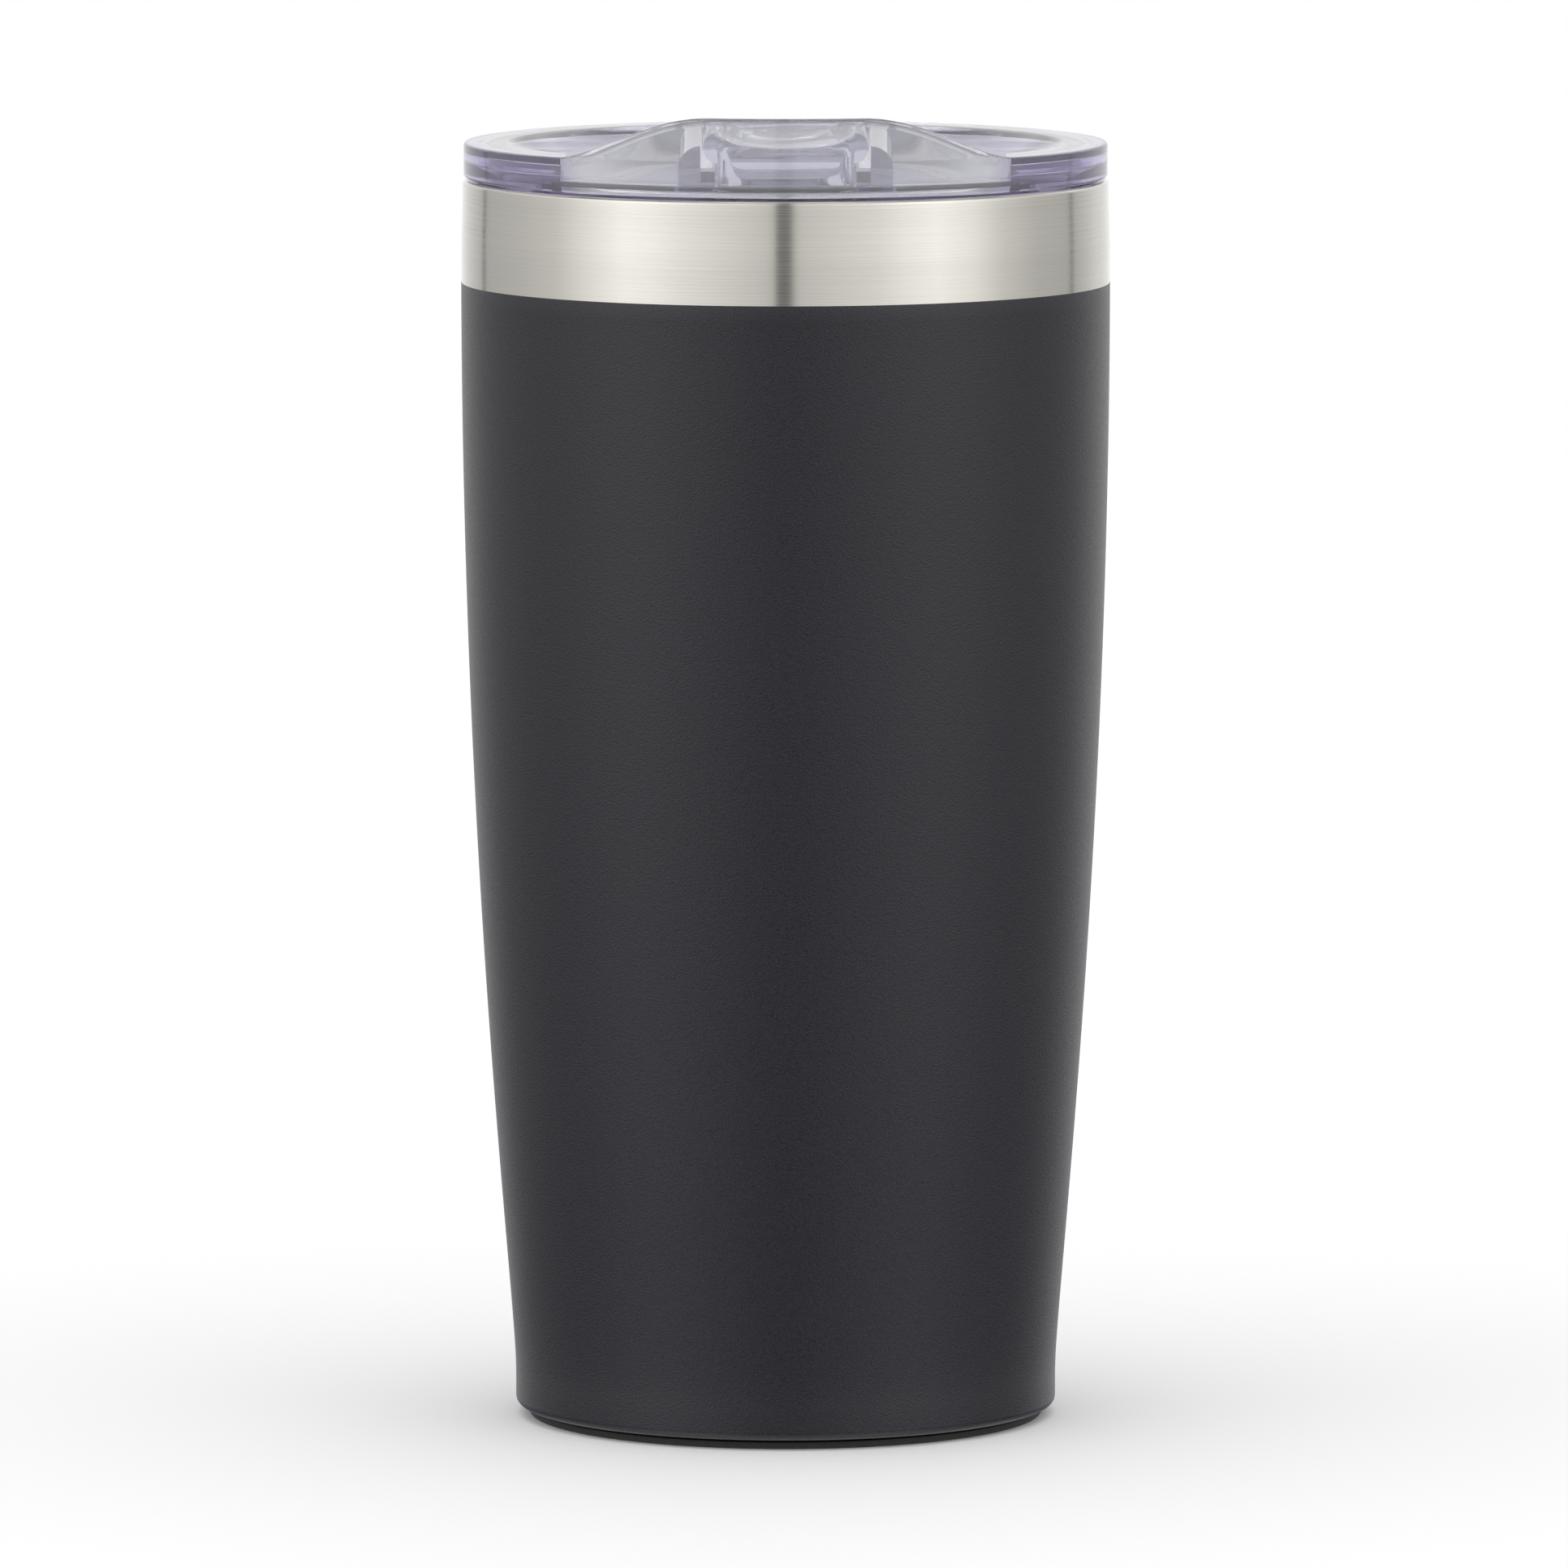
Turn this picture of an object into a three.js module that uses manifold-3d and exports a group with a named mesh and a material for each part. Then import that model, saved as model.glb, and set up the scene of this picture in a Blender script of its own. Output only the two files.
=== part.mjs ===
// An insulated steel tumbler with a clear plastic lid.
// Millimetres, +Z up, the drinking side of the lid faces -Y, and the foot pad stands on z = 0.
//
// The body is a double-walled vacuum flask: an outer shell and an inner liner with a pressed
// base between them. The lid drops into the mouth on a silicone gasket, and a slider on the lid
// moves back along +Y to uncover the drinking opening.
import * as THREE from "three";
import { mergeVertices, toCreasedNormals } from "three/addons/utils/BufferGeometryUtils.js";
import Module from "manifold-3d";

const wasm = await Module();
wasm.setup();

// Driving dimensions of the whole tumbler.
const gap = 0.3; // clearance between pieces that touch on the real object
const sheet = 0.5; // thickness of the steel sheet
const vacuum = 3; // width of the evacuated space between the two walls
const bodyRadius = 44.05; // outer radius just below the mouth, the widest place
const footRadius = 36.87; // outer radius at the foot
const bottomZ = 1.3; // underside of the steel body
const mouthZ = 168.95; // top of the steel rim
const taperTopZ = 156; // the side wall is upright from here to the rim
const padRadius = 35;

const lidRadius = 43.7;
const rimZ = 174; // flat rim of the lid
const lipZ = 179.9; // top of the raised drinking lip
const lidFloorZ = 168.8; // floor of the dish in the lid
const plastic = 2; // wall thickness of the lid
const sliderTravel = 16; // how far the slider moves back, in +Y

const bodySegments = 48;
const smallSegments = 24;

const steel = { color: "#c9c7c0", metalness: 1, roughness: 0.35 };
const coat = { color: "#37343a", metalness: 0, roughness: 0.6 };
const clear = { color: "#d9d7e2", metalness: 0, roughness: 0.05, transparent: true, opacity: 0.35 };
const silicone = { color: "#e8e8ec", metalness: 0, roughness: 0.5, transparent: true, opacity: 0.7 };
const rubber = { color: "#252525", metalness: 0, roughness: 0.9 };
const copper = { color: "#b87350", metalness: 1, roughness: 0.3 };
const sealGlass = { color: "#8fa3a0", metalness: 0, roughness: 0.1 };
const film = { color: "#d8d4c4", metalness: 0, roughness: 0.6 };

// ---------------------------------------------------------------- shapes

// Points on a circle in the plane of a lathe profile, from one angle to another in degrees.
function arc(centreRadius, centreZ, radius, fromDegrees, toDegrees, steps = 3) {
  const points = [];
  for (let i = 0; i <= steps; i++) {
    const angle = THREE.MathUtils.degToRad(fromDegrees + ((toDegrees - fromDegrees) * i) / steps);
    points.push([centreRadius + radius * Math.cos(angle), centreZ + radius * Math.sin(angle)]);
  }
  return points;
}

// A solid of revolution about Z. The profile lists [radius, z] anticlockwise: out along the
// underside, up the outside and back over the top.
function turned(profile, segments = bodySegments) {
  const points = profile.map(([radius, z]) => new THREE.Vector2(radius, z));
  const onAxis = profile[0][0] === 0 && profile.at(-1)[0] === 0;
  if (!onAxis) points.push(points[0].clone());
  return solid(new THREE.LatheGeometry(points, segments).rotateX(Math.PI / 2));
}

// A ring about Z whose closed profile may change with the angle from the front, in radians.
function swept(profileAt, segments) {
  const outline = (angle) => profileAt(angle).map(([radius, z]) => new THREE.Vector2(radius, z));
  const geometry = new THREE.LatheGeometry(outline(0), segments);
  const position = geometry.attributes.position;
  const count = position.count / (segments + 1);
  for (let i = 0; i <= segments; i++) {
    const angle = (2 * Math.PI * i) / segments;
    outline(angle).forEach((point, j) => {
      const x = point.x * Math.sin(angle);
      const y = point.x * Math.cos(angle);
      position.setXYZ(i * count + j, x, point.y, y);
    });
  }
  return solid(geometry.rotateX(Math.PI / 2));
}

function solid(geometry) {
  const bare = geometry.clone();
  bare.deleteAttribute("normal");
  bare.deleteAttribute("uv");
  const merged = mergeVertices(bare, 1e-4);
  return new wasm.Manifold(
    new wasm.Mesh({
      numProp: 3,
      vertProperties: merged.attributes.position.array,
      triVerts: new Uint32Array(merged.index.array),
    }),
  );
}

// A box between two corners.
function box([x0, y0, z0], [x1, y1, z1]) {
  const geometry = new THREE.BoxGeometry(x1 - x0, y1 - y0, z1 - z0);
  return solid(geometry.translate((x0 + x1) / 2, (y0 + y1) / 2, (z0 + z1) / 2));
}

// An upright slab whose plan is a rounded rectangle.
function slab([x0, y0, z0], [x1, y1, z1], corner, curveSegments = 5) {
  const shape = roundedRectangle(x0, y0, x1, y1, corner);
  const geometry = new THREE.ExtrudeGeometry(shape, {
    depth: z1 - z0,
    bevelEnabled: false,
    curveSegments,
  });
  return solid(geometry.translate(0, 0, z0));
}

// A block that runs along Y, with a given outline in X and Z.
function alongY(shape, y0, y1, curveSegments = 5) {
  const geometry = new THREE.ExtrudeGeometry(shape, {
    depth: y1 - y0,
    bevelEnabled: false,
    curveSegments,
  });
  return solid(geometry.rotateX(Math.PI / 2).translate(0, y1, 0));
}

function roundedRectangle(left, bottom, right, top, corner) {
  const shape = new THREE.Shape();
  shape.moveTo(left + corner, bottom);
  shape.lineTo(right - corner, bottom);
  shape.absarc(right - corner, bottom + corner, corner, -Math.PI / 2, 0);
  shape.lineTo(right, top - corner);
  shape.absarc(right - corner, top - corner, corner, 0, Math.PI / 2);
  shape.lineTo(left + corner, top);
  shape.absarc(left + corner, top - corner, corner, Math.PI / 2, Math.PI);
  shape.lineTo(left, bottom + corner);
  shape.absarc(left + corner, bottom + corner, corner, Math.PI, Math.PI * 1.5);
  return shape;
}

function joined(...solids) {
  return solids.reduce((whole, piece) => whole.add(piece));
}

function mirroredX(piece) {
  return piece.mirror([1, 0, 0]);
}

const tumbler = new THREE.Group();
tumbler.name = "insulated_tumbler";

// Adds one solid to the tumbler as a named piece.
function piece(name, body, look) {
  const mesh = body.getMesh();
  const geometry = new THREE.BufferGeometry();
  geometry.setAttribute("position", new THREE.BufferAttribute(mesh.vertProperties, 3));
  geometry.setIndex(new THREE.BufferAttribute(mesh.triVerts, 1));
  const made = new THREE.Mesh(toCreasedNormals(geometry, 0.6), new THREE.MeshStandardMaterial(look));
  made.name = name;
  tumbler.add(made);
}

// ---------------------------------------------------------------- steel body

const taperFootZ = 6; // the side wall starts to widen here

// The long curve of the side wall, moved inwards by an inset, from the foot upwards.
function sideWall(inset, fromZ, toZ, steps) {
  const curve = new THREE.CubicBezierCurve(
    new THREE.Vector2(footRadius, taperFootZ),
    new THREE.Vector2(footRadius, 15.6),
    new THREE.Vector2(bodyRadius, 73.4),
    new THREE.Vector2(bodyRadius, taperTopZ),
  );
  const points = [];
  for (let i = 0; i <= steps; i++) {
    const z = fromZ + ((toZ - fromZ) * i) / steps;
    points.push([curve.getPoint(bezierParameter(curve, z)).x - inset, z]);
  }
  return points;
}

// The parameter at which a rising curve reaches a height.
function bezierParameter(curve, z) {
  let low = 0;
  let high = 1;
  for (let i = 0; i < 40; i++) {
    const middle = (low + high) / 2;
    if (curve.getPoint(middle).y < z) low = middle;
    else high = middle;
  }
  return low;
}

const rimRadius = bodyRadius - 0.2; // the wall draws in a little towards the rim
const rimRound = 0.6;
const linerMouth = 41.8; // inside radius of the mouth
const footRound = 1.2;
const padSeat = 33.9; // radius of the opening in the shell's turned-in bottom edge

function outerShell() {
  const cornerRadius = footRadius - footRound;
  const cornerZ = bottomZ + footRound;
  return turned([
    [padSeat, bottomZ],
    ...arc(cornerRadius, cornerZ, footRound, -90, 0),
    ...sideWall(0, taperFootZ, taperTopZ, 9),
    [rimRadius, mouthZ - 2],
    ...arc(rimRadius - rimRound, mouthZ - rimRound, rimRound, 0, 90, 4),
    [linerMouth + sheet + gap, mouthZ],
    [linerMouth + sheet + gap, mouthZ - 1],
    [rimRadius - sheet, mouthZ - 2.2],
    ...sideWall(sheet, taperFootZ, taperTopZ, 9).reverse(),
    ...arc(cornerRadius, cornerZ, footRound - sheet, 0, -90),
    [padSeat, bottomZ + sheet],
  ]);
}

const linerInset = 2 * sheet + vacuum; // from the outside of the shell to the inside of the liner
const linerFloorZ = 10.1;
const linerCorner = 8;
const linerTopZ = mouthZ - gap;
const shoulderLowZ = 149; // the liner widens from its side wall to the mouth between these heights
const shoulderHighZ = 157;

function innerLiner() {
  const wallFootZ = linerFloorZ + linerCorner;
  const cornerRadius = sideWall(linerInset, wallFootZ, taperTopZ, 1)[0][0] - linerCorner;
  return turned([
    [0, linerFloorZ - sheet],
    ...arc(cornerRadius, wallFootZ, linerCorner + sheet, -90, 0, 4),
    ...sideWall(linerInset - sheet, wallFootZ + 8, shoulderLowZ, 6),
    [linerMouth + sheet, shoulderHighZ],
    [linerMouth + sheet, linerTopZ],
    [linerMouth, linerTopZ],
    [linerMouth, shoulderHighZ + 0.3],
    ...sideWall(linerInset, wallFootZ + 8, shoulderLowZ + 0.3, 6).reverse(),
    ...arc(cornerRadius, wallFootZ, linerCorner, 0, -90, 4),
    [0, linerFloorZ],
  ]);
}

const baseZ = 2.2; // underside of the pressed vacuum base
const dimpleRadius = 6;
const dimpleRise = 1.2;
const ventRadius = 1; // the hole through which the air was drawn out

// The pressed disc that closes the vacuum space, with a turned-up edge and a raised middle.
function vacuumBase() {
  const outer = footRadius - sheet - gap;
  const flangeTopZ = 8;
  const round = 1;
  return turned([
    [ventRadius, baseZ + dimpleRise],
    [dimpleRadius - 1, baseZ + dimpleRise],
    [dimpleRadius, baseZ],
    ...arc(outer - round, baseZ + round, round, -90, 0),
    [outer, flangeTopZ],
    [outer - sheet, flangeTopZ],
    ...arc(outer - round, baseZ + round, round - sheet, 0, -90),
    [dimpleRadius, baseZ + sheet],
    [dimpleRadius - 1, baseZ + dimpleRise + sheet],
    [ventRadius, baseZ + dimpleRise + sheet],
  ]);
}

// The bead of solder glass melted over the vent.
function glassSeal() {
  const top = baseZ + dimpleRise - gap;
  return turned([[0, top - 0.7], [2, top - 0.5], [3, top], [0, top]], smallSegments);
}

const getterX = 18;
const getterRadius = 4;
const getterZ = baseZ + sheet + gap;
const getterHeight = 2;

// A pill of metal that soaks up the last gas in the vacuum space.
function getter() {
  const pill = [
    [0, getterZ],
    [getterRadius - 0.4, getterZ],
    [getterRadius, getterZ + 0.4],
    [getterRadius, getterZ + getterHeight - 0.4],
    [getterRadius - 0.4, getterZ + getterHeight],
    [0, getterZ + getterHeight],
  ];
  return turned(pill, smallSegments).translate([getterX, 0, 0]);
}

// The strip that straddles the getter and holds it down.
function getterClip() {
  const strip = 0.4;
  const halfSpan = getterRadius + gap + strip;
  const halfWidth = 2.5;
  const foot = 2.5;
  const topZ = getterZ + getterHeight + gap + strip;
  const bridge = box([-halfSpan, -halfWidth, topZ - strip], [halfSpan, halfWidth, topZ]);
  const leg = box([halfSpan - strip, -halfWidth, getterZ], [halfSpan, halfWidth, topZ]);
  const toe = box([halfSpan - strip, -halfWidth, getterZ], [halfSpan + foot, halfWidth, getterZ + strip]);
  const side = joined(leg, toe);
  return joined(bridge, side, mirroredX(side)).translate([getterX, 0, 0]);
}

// The foil wound round the liner that turns back radiant heat.
function heatFoil() {
  const inside = linerInset - sheet - gap;
  const thickness = 0.1;
  const lowZ = 24;
  const highZ = 146;
  return turned([
    ...sideWall(inside - thickness, lowZ, highZ, 4),
    ...sideWall(inside, lowZ, highZ, 4).reverse(),
  ]);
}

// ---------------------------------------------------------------- foot

const padBossRadius = padSeat - 0.5;
const padFlangeZ = bottomZ - gap;

// The rubber pad: a disc that lies under the steel edge with a boss that sits inside it.
function basePad() {
  const round = 0.4;
  return turned([
    [0, 0],
    [padRadius - round, 0],
    [padRadius, round],
    [padRadius, padFlangeZ],
    [padBossRadius, padFlangeZ],
    [padBossRadius, bottomZ],
    [0, bottomZ],
  ]);
}

function padAdhesive() {
  const radius = padBossRadius - 0.3;
  const lowZ = bottomZ + gap;
  const highZ = baseZ - gap;
  return turned([[0, lowZ], [radius, lowZ], [radius, highZ], [0, highZ]]);
}

// ---------------------------------------------------------------- lid cover

const flangeZ = mouthZ + gap; // underside of the lid's outer wall
const dishRadius = 37.5; // edge of the dish at the rim
const dishFloorRadius = 29.5;
const skirtOuter = 40.2;
const skirtInner = skirtOuter - plastic;
const skirtZ = 160.5; // bottom of the plug that goes into the mouth
const grooveDepth = 0.8;
const grooveLowZ = 162.6;
const grooveHighZ = 165.8;
const lidUndersideZ = lidFloorZ - plastic;
const lipTopX = 10.5; // the drinking lip is level as far as this to each side of the middle
const lipFootX = 31; // and has come down to the rim here
const spoutHalf = dishFloorRadius; // the dish's floor runs straight forward to the lip this wide
const spoutZ = 170.5; // low shelf between that floor and the drinking lip
const shelfInner = 38.6;
const lidSegments = 112;
const wallInner = lidRadius - plastic;
const land = 1.1; // thickness of the flat rim
const beadTopZ = 171.5; // the wall thickens below this into the bead that rests on the cup
const beadInner = 40.5;
const beadLowZ = 170.1;
const grooveTip = 41.9; // radius and height of the top of the groove under the drinking lip
const grooveTipZ = 170.1;
const grooveHalf = 1;

// Height of the lid's edge at an angle from the front: level, then easing down to the rim.
function edgeZ(angle) {
  const x = Math.abs(lidRadius * Math.sin(angle));
  if (Math.cos(angle) < 0 || x >= lipFootX) return rimZ;
  if (x <= lipTopX) return lipZ;
  const curve = new THREE.CubicBezierCurve(
    new THREE.Vector2(lipZ, lipTopX),
    new THREE.Vector2(lipZ, 19),
    new THREE.Vector2(rimZ, 26),
    new THREE.Vector2(rimZ, lipFootX),
  );
  return curve.getPoint(bezierParameter(curve, x)).x;
}

// Section of the lid: floor, dish, flat rim and skirt, with the thin lip rising from the rim.
function bowlProfile(angle) {
  const slope = (rimZ - lidFloorZ) / (dishRadius - dishFloorRadius);
  const coneFoot = dishFloorRadius + 0.6;
  const coneTopZ = lidUndersideZ + (skirtInner - coneFoot) * slope;
  const top = edgeZ(angle);
  const outerRound = 0.4;
  const innerRound = 1.3;
  const lipInner = arc(wallInner + innerRound, top - innerRound, innerRound, 90, 180);
  const raised = Math.min(1, (top - rimZ) / innerRound);
  return [
    [0, lidUndersideZ],
    [coneFoot, lidUndersideZ],
    [skirtInner, coneTopZ],
    [skirtInner, skirtZ],
    [skirtOuter - 0.4, skirtZ],
    [skirtOuter, skirtZ + 0.4],
    [skirtOuter, grooveLowZ],
    [skirtOuter - grooveDepth, grooveLowZ],
    [skirtOuter - grooveDepth, grooveHighZ],
    [skirtOuter, grooveHighZ],
    [skirtOuter, rimZ - land],
    [wallInner, rimZ - land],
    [wallInner, beadTopZ],
    [beadInner, beadLowZ],
    [beadInner, flangeZ],
    [lidRadius - 0.3, flangeZ],
    [lidRadius, flangeZ + 0.3],
    ...arc(lidRadius - outerRound, top - outerRound, outerRound, 0, 90, 2),
    ...lipInner.map(([radius, z]) => [radius, top - (top - z) * raised]),
    [wallInner - 0.1, rimZ],
    [dishRadius, rimZ],
    [dishFloorRadius, lidFloorZ],
    [0, lidFloorZ],
  ];
}

// The part of a turned solid that lies ahead of the lid's middle, within a width.
function ahead(profile, half) {
  return turned(profile, lidSegments).intersect(box([-half, -50, skirtZ], [half, 0, lipZ]));
}

// The floor under the spout, which fills the hollows below the rim there.
function spoutFloor() {
  const low = flangeZ + 0.2;
  return ahead(
    [
      [0, lidUndersideZ],
      [skirtInner + 1, lidUndersideZ],
      [skirtInner + 1, low],
      [wallInner + 1, low],
      [wallInner + 1, spoutZ],
      [shelfInner, spoutZ],
      [shelfInner - 2.1, lidFloorZ],
      [0, lidFloorZ],
    ],
    spoutHalf + plastic,
  );
}

// The groove that keeps the plastic under the drinking lip thin.
function spoutGroove() {
  return ahead(
    [
      [grooveTip - grooveHalf, flangeZ - 0.1],
      [grooveTip + grooveHalf, flangeZ - 0.1],
      [grooveTip, grooveTipZ],
    ],
    spoutHalf,
  );
}

// The open space of the spout between its straight sides, down to its floor and shelf.
function spoutSpace() {
  return ahead(
    [
      [0, lidFloorZ],
      [shelfInner - 2.1, lidFloorZ],
      [shelfInner, spoutZ],
      [wallInner - 0.5, spoutZ],
      [wallInner, spoutZ + 0.5],
      [wallInner, rimZ],
      [0, rimZ],
    ],
    spoutHalf,
  );
}

// Widths are half widths, because the lid is the same on both sides of X = 0.
const trackHalf = 11.2; // clear half width between the cheeks
const trackFrontY = -37.4;
const cheekHalf = 14.1;
const cheekBackY = -14;
const cheekTopZ = 175.8;
const railHalf = 9.3; // clear half width between the rails
const railTopZ = 173;
const railBackZ = 171.5;
const railBackY = 19;

// A tall cheek beside the slider's head, round on its outer top edge.
function cheek() {
  const round = cheekHalf - trackHalf;
  const shape = new THREE.Shape();
  shape.moveTo(trackHalf, lidUndersideZ);
  shape.lineTo(cheekHalf, lidUndersideZ);
  shape.lineTo(cheekHalf, cheekTopZ - round);
  shape.absarc(trackHalf, cheekTopZ - round, round, 0, Math.PI / 2);
  return alongY(shape, trackFrontY, cheekBackY).intersect(trackRoom());
}

// The low rail that the slider's body runs against: a loop that is closed and round at the back,
// and higher where it stands between the cheeks.
function rail() {
  const outer = trackHalf + 0.1;
  const wall = outer - railHalf;
  const low = [-outer, trackFrontY - 12, lidUndersideZ];
  const high = [outer, railBackY + wall, railBackZ];
  const bore = slab(
    [-railHalf, trackFrontY - 11, lidFloorZ],
    [railHalf, railBackY, railTopZ + 1],
    railHalf - 1,
  );
  const between = box([-outer, trackFrontY, lidUndersideZ], [outer, cheekBackY, railTopZ]);
  const ahead = box([-outer, trackFrontY - 12, lidUndersideZ - 1], [outer, trackFrontY, railTopZ]);
  return joined(slab(low, high, outer - 1), between)
    .subtract(joined(bore, ahead))
    .intersect(trackRoom());
}

// The space above the lid's underside and inside the drinking lip, which the track may fill.
function trackRoom() {
  return turned([
    [0, lidUndersideZ],
    [skirtInner + 1, lidUndersideZ],
    [skirtInner + 1, spoutZ - 0.5],
    [skirtInner + 3, spoutZ - 0.5],
    [skirtInner + 3, cheekTopZ + 1],
    [0, cheekTopZ + 1],
  ]);
}

const openingHalf = 7;
const openingFrontY = -35;
const openingBackY = -29.5;
const slotHalf = 2.1;
const slotFrontY = -8.4;
const slotBackY = slotFrontY + 6.8 + sliderTravel;
const ventY = 24.5;

function lidCover() {
  const track = box([-trackHalf, trackFrontY, lidFloorZ], [trackHalf, cheekBackY, rimZ + 1]);
  const drinkingHole = slab(
    [-openingHalf, openingFrontY, lidUndersideZ - 1],
    [openingHalf, openingBackY, lidFloorZ + 1],
    2,
  );
  const stemSlot = slab(
    [-slotHalf, slotFrontY, lidUndersideZ - 1],
    [slotHalf, slotBackY, lidFloorZ + 1],
    1,
    3,
  );
  const ventHole = slab([-1.2, ventY - 1.2, lidUndersideZ - 1], [1.2, ventY + 1.2, lidFloorZ + 1], 1.2, 3);
  return swept(bowlProfile, lidSegments)
    .add(spoutFloor())
    .subtract(joined(spoutSpace(), spoutGroove(), track))
    .add(joined(cheek(), mirroredX(cheek()), rail()))
    .subtract(joined(drinkingHole, stemSlot, ventHole));
}

// The silicone ring in the skirt's groove, with two fins that wipe the mouth.
function lidGasket() {
  const inner = skirtOuter - grooveDepth + gap;
  const lowZ = grooveLowZ + gap;
  const highZ = grooveHighZ - gap;
  const finTip = linerMouth - gap;
  const root = skirtOuter + 0.3;
  const middleZ = (lowZ + highZ) / 2;
  return turned([
    [inner, lowZ],
    [root, lowZ],
    [finTip, lowZ + 0.5],
    [finTip, lowZ + 0.8],
    [root, middleZ - 0.2],
    [root, middleZ + 0.1],
    [finTip, highZ - 0.5],
    [finTip, highZ - 0.2],
    [root, highZ],
    [inner, highZ],
  ]);
}

// ---------------------------------------------------------------- slider

const sliderFrontY = -36.9;
const headHalf = 10.85;
const headBackY = -17;
const headLowZ = 173.6;
const headTopZ = 177.4;
const sliderHalf = 9;
const sliderLowZ = lidFloorZ + gap;
const tailHalf = 6.5;
const tailBackY = 2;
const tailTopZ = 172;
const stemHalf = 1.7;
const stemFrontY = slotFrontY + 0.4;
const stemBackY = stemFrontY + 6;
const stemLowZ = 164.4;
const retainerHighZ = lidUndersideZ - gap;
const retainerLowZ = retainerHighZ - 1.2;
const sealHighZ = sliderLowZ + 1.1;

// The hollow for the thumb: a shallow scoop that opens at the front of the head.
function thumbScoop() {
  const scoop = new THREE.SphereGeometry(1, smallSegments, 16).scale(9.4, 17.4, 2.9);
  return solid(scoop.translate(0, sliderFrontY - 1, headTopZ + 0.6));
}

// The sunk panel on the front of the slider, with its small rib and arched lower field.
function frontPanel() {
  const depth = 0.7;
  const panelHalf = 8.6;
  const panel = roundedRectangle(-panelHalf, sliderLowZ + 0.6, panelHalf, 175.45, 1);
  const sunk = alongY(panel, sliderFrontY - 1, sliderFrontY + depth, 3);
  const rib = slab([-7.2, sliderFrontY, 173.65], [7.2, sliderFrontY + depth + 0.1, 174.2], 0.3, 2);
  const arch = new THREE.Shape();
  const archHalf = 7.5;
  arch.moveTo(-archHalf, sliderLowZ + 1.2);
  arch.lineTo(archHalf, sliderLowZ + 1.2);
  arch.lineTo(archHalf, 171.7);
  arch.quadraticCurveTo(0, 173.2, -archHalf, 171.7);
  const lowerField = alongY(arch, sliderFrontY, sliderFrontY + depth + 0.5, 6);
  return joined(sunk.subtract(rib), lowerField);
}

function slider() {
  const round = 1.8;
  const headShape = roundedRectangle(-headHalf, headLowZ, headHalf, headTopZ, round);
  const head = alongY(headShape, sliderFrontY + 0.4, headBackY, 4);
  const body = slab([-sliderHalf, sliderFrontY, sliderLowZ], [sliderHalf, headBackY, headLowZ + 2.5], 1, 3);
  const tail = slab([-tailHalf, headBackY - 1, sliderLowZ], [tailHalf, tailBackY, tailTopZ], 3, 4);
  const stem = box([-stemHalf, stemFrontY, stemLowZ], [stemHalf, stemBackY, tailTopZ - 1]);
  const barb = box(
    [-stemHalf - 0.9, stemFrontY, stemLowZ],
    [stemHalf + 0.9, stemBackY, retainerLowZ - gap],
  );
  const sealPocket = box(
    [-sealHalf - gap, sealFrontY - gap, sliderLowZ - 1],
    [sealHalf + gap, sealBackY + gap, sealHighZ + gap],
  );
  return joined(head, body, tail, stem, barb).subtract(joined(thumbScoop(), frontPanel(), sealPocket));
}

const sealHalf = 8.1;
const sealFrontY = sliderFrontY + 1.3;
const sealBackY = -28;

// The soft plate under the slider that covers the drinking opening.
function sliderSeal() {
  return slab([-sealHalf, sealFrontY, sliderLowZ], [sealHalf, sealBackY, sealHighZ], 1, 3);
}

// The plate below the lid's floor that the slider's stem snaps through.
function sliderRetainer() {
  const plate = slab([-5, stemFrontY - 4, retainerLowZ], [5, stemBackY + 4, retainerHighZ], 1.5, 3);
  const hole = box(
    [-stemHalf - gap, stemFrontY - gap, retainerLowZ - 1],
    [stemHalf + gap, stemBackY + gap, retainerHighZ + 1],
  );
  return plate.subtract(hole);
}

// ---------------------------------------------------------------- assembly

piece("outer_shell", outerShell(), coat);
piece("inner_liner", innerLiner(), steel);
piece("vacuum_base", vacuumBase(), steel);
piece("glass_seal", glassSeal(), sealGlass);
piece("getter", getter(), steel);
piece("getter_clip", getterClip(), steel);
piece("heat_foil", heatFoil(), copper);
piece("pad_adhesive", padAdhesive(), film);
piece("base_pad", basePad(), rubber);
piece("lid_cover", lidCover(), clear);
piece("lid_gasket", lidGasket(), silicone);
piece("slider", slider(), clear);
piece("slider_seal", sliderSeal(), silicone);
piece("slider_retainer", sliderRetainer(), clear);

export default tumbler;
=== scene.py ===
"""Looks for the insulated tumbler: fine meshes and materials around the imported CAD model.

Shapes are worked out in millimetres, in the CAD frame (+Z up, drinking side at -Y), and turned
into metres when a mesh is made.
"""

import math

import bmesh
import bpy
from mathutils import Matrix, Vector


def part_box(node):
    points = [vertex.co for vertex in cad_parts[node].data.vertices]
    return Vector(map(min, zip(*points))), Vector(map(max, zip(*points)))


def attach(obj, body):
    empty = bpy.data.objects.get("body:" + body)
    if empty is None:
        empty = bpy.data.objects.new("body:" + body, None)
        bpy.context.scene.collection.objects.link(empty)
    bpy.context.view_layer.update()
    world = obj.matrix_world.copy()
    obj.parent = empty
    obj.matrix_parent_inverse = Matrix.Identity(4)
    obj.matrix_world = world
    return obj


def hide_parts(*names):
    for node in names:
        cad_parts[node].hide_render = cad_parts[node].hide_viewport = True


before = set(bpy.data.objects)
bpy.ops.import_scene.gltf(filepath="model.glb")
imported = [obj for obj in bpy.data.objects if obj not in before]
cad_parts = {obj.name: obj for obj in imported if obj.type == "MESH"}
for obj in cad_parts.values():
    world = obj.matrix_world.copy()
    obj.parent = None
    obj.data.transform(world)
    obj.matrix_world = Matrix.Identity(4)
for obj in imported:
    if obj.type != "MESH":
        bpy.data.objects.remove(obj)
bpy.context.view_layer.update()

MM = 0.001


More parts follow.
